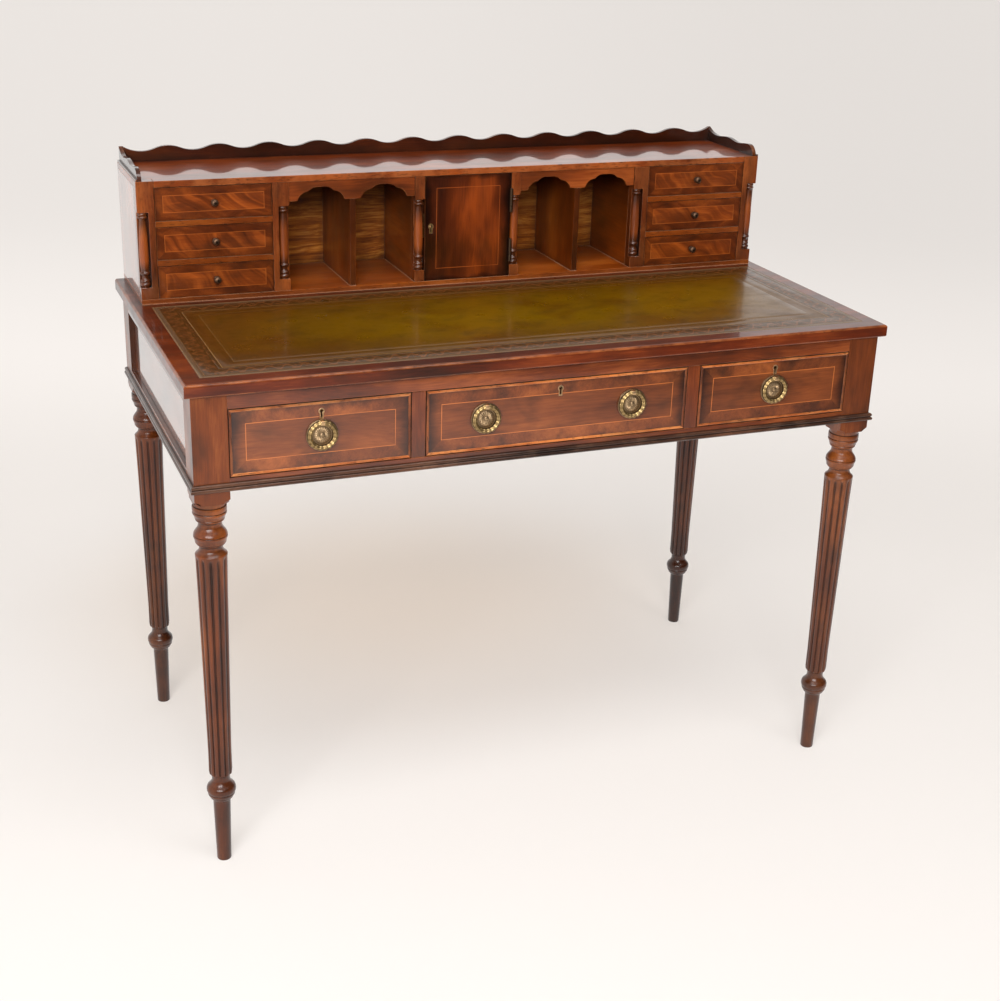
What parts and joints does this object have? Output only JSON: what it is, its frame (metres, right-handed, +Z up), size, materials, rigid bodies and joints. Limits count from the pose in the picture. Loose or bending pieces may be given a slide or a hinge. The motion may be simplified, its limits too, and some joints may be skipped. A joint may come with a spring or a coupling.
{
  "type": "writing desk",
  "caption": "Writing desk on reeded legs with ring-pull drawers, a leather top and a low cabinet of pigeonholes, small drawers and a cupboard.",
  "frame": {"origin": "on the floor below the centre of the desk top", "axes": "+Z up, the front and its drawers face -Y, +X to the right of someone facing the front"},
  "size_m": [1.1, 0.584, 0.9845],
  "materials": {
    "mahogany": "french polished, worn at the edges",
    "veneered_front": "figured veneer, french polished",
    "drawer_lining": "plain, waxed",
    "secondary_wood": "plain",
    "leather": "tooled, polished",
    "brass": "aged",
    "bolt_brass": "plain"
  },
  "bodies": {
    "desk": {"leg_front_left": "mahogany", "leg_front_right": "mahogany", "leg_back_left": "mahogany", "leg_back_right": "mahogany", "front_top_rail": "mahogany", "front_bottom_rail": "mahogany", "drawer_uprights": "mahogany", "side_rails": "mahogany", "side_panels": "mahogany", "frieze_back": "mahogany", "bead_moulding": "mahogany", "drawer_runners": "secondary_wood", "glue_blocks": "secondary_wood", "desk_top": "mahogany", "leather_skiver": "leather", "cabinet_sides": "mahogany", "cabinet_bottom": "mahogany", "cabinet_top": "mahogany", "cabinet_back": "mahogany", "gallery_back": "mahogany", "gallery_sides": "mahogany", "corner_posts": "mahogany", "inner_posts": "mahogany", "partitions": "mahogany", "pigeonhole_dividers": "mahogany", "valances": "mahogany", "colonettes": "mahogany", "dust_boards": "mahogany", "post_hinges": "brass"},
    "left_drawer": {"drawer_front_left": "veneered_front", "drawer_box_left": "drawer_lining", "drawer_brass_left": "brass"},
    "left_lock_bolt": {"lock_bolt_left": "bolt_brass"},
    "middle_drawer": {"drawer_front_middle": "veneered_front", "drawer_box_middle": "drawer_lining", "drawer_brass_middle": "brass"},
    "middle_lock_bolt": {"lock_bolt_middle": "bolt_brass"},
    "right_drawer": {"drawer_front_right": "veneered_front", "drawer_box_right": "drawer_lining", "drawer_brass_right": "brass"},
    "right_lock_bolt": {"lock_bolt_right": "bolt_brass"},
    "left_ring": {"ring_left": "brass"},
    "middle_left_ring": {"ring_middle_left": "brass"},
    "middle_right_ring": {"ring_middle_right": "brass"},
    "right_ring": {"ring_right": "brass"},
    "small_drawer_left_1": {"small_drawer_left_1": "veneered_front", "knob_left_1": "brass"},
    "small_drawer_left_2": {"small_drawer_left_2": "veneered_front", "knob_left_2": "brass"},
    "small_drawer_left_3": {"small_drawer_left_3": "veneered_front", "knob_left_3": "brass"},
    "small_drawer_right_1": {"small_drawer_right_1": "veneered_front", "knob_right_1": "brass"},
    "small_drawer_right_2": {"small_drawer_right_2": "veneered_front", "knob_right_2": "brass"},
    "small_drawer_right_3": {"small_drawer_right_3": "veneered_front", "knob_right_3": "brass"},
    "door": {"door_panel": "veneered_front", "door_brass": "brass"},
    "door_lock_bolt": {"door_bolt": "bolt_brass"}
  },
  "joints": [
    {"name": "left_drawer_slide", "type": "slide", "parent": "desk", "child": "left_drawer", "axis": [0, -1, 0], "range_m": [0, 0.35]},
    {"name": "left_lock_bolt_slide", "type": "slide", "parent": "left_drawer", "child": "left_lock_bolt", "axis": [0, 0, 1], "range_m": [0, 0.006]},
    {"name": "middle_drawer_slide", "type": "slide", "parent": "desk", "child": "middle_drawer", "axis": [0, -1, 0], "range_m": [0, 0.35]},
    {"name": "middle_lock_bolt_slide", "type": "slide", "parent": "middle_drawer", "child": "middle_lock_bolt", "axis": [0, 0, 1], "range_m": [0, 0.006]},
    {"name": "right_drawer_slide", "type": "slide", "parent": "desk", "child": "right_drawer", "axis": [0, -1, 0], "range_m": [0, 0.35]},
    {"name": "right_lock_bolt_slide", "type": "slide", "parent": "right_drawer", "child": "right_lock_bolt", "axis": [0, 0, 1], "range_m": [0, 0.006]},
    {"name": "left_ring_swing", "type": "hinge", "parent": "left_drawer", "child": "left_ring", "pos_m": [-0.36, -0.2876, 0.6979], "axis": [-1, 0, 0], "range_deg": [0, 100]},
    {"name": "middle_left_ring_swing", "type": "hinge", "parent": "middle_drawer", "child": "middle_left_ring", "pos_m": [-0.1165, -0.2876, 0.6979], "axis": [-1, 0, 0], "range_deg": [0, 100]},
    {"name": "middle_right_ring_swing", "type": "hinge", "parent": "middle_drawer", "child": "middle_right_ring", "pos_m": [0.1165, -0.2876, 0.6979], "axis": [-1, 0, 0], "range_deg": [0, 100]},
    {"name": "right_ring_swing", "type": "hinge", "parent": "right_drawer", "child": "right_ring", "pos_m": [0.36, -0.2876, 0.6979], "axis": [-1, 0, 0], "range_deg": [0, 100]},
    {"name": "small_drawer_left_1_slide", "type": "slide", "parent": "desk", "child": "small_drawer_left_1", "axis": [0, -1, 0], "range_m": [0, 0.11]},
    {"name": "small_drawer_left_2_slide", "type": "slide", "parent": "desk", "child": "small_drawer_left_2", "axis": [0, -1, 0], "range_m": [0, 0.11]},
    {"name": "small_drawer_left_3_slide", "type": "slide", "parent": "desk", "child": "small_drawer_left_3", "axis": [0, -1, 0], "range_m": [0, 0.11]},
    {"name": "small_drawer_right_1_slide", "type": "slide", "parent": "desk", "child": "small_drawer_right_1", "axis": [0, -1, 0], "range_m": [0, 0.11]},
    {"name": "small_drawer_right_2_slide", "type": "slide", "parent": "desk", "child": "small_drawer_right_2", "axis": [0, -1, 0], "range_m": [0, 0.11]},
    {"name": "small_drawer_right_3_slide", "type": "slide", "parent": "desk", "child": "small_drawer_right_3", "axis": [0, -1, 0], "range_m": [0, 0.11]},
    {"name": "door_swing", "type": "hinge", "parent": "desk", "child": "door", "pos_m": [0.074, 0.1153, 0.86], "axis": [0, 0, 1], "range_deg": [0, 165]},
    {"name": "door_bolt_slide", "type": "slide", "parent": "door", "child": "door_lock_bolt", "axis": [-1, 0, 0], "range_m": [0, 0.005]}
  ]
}
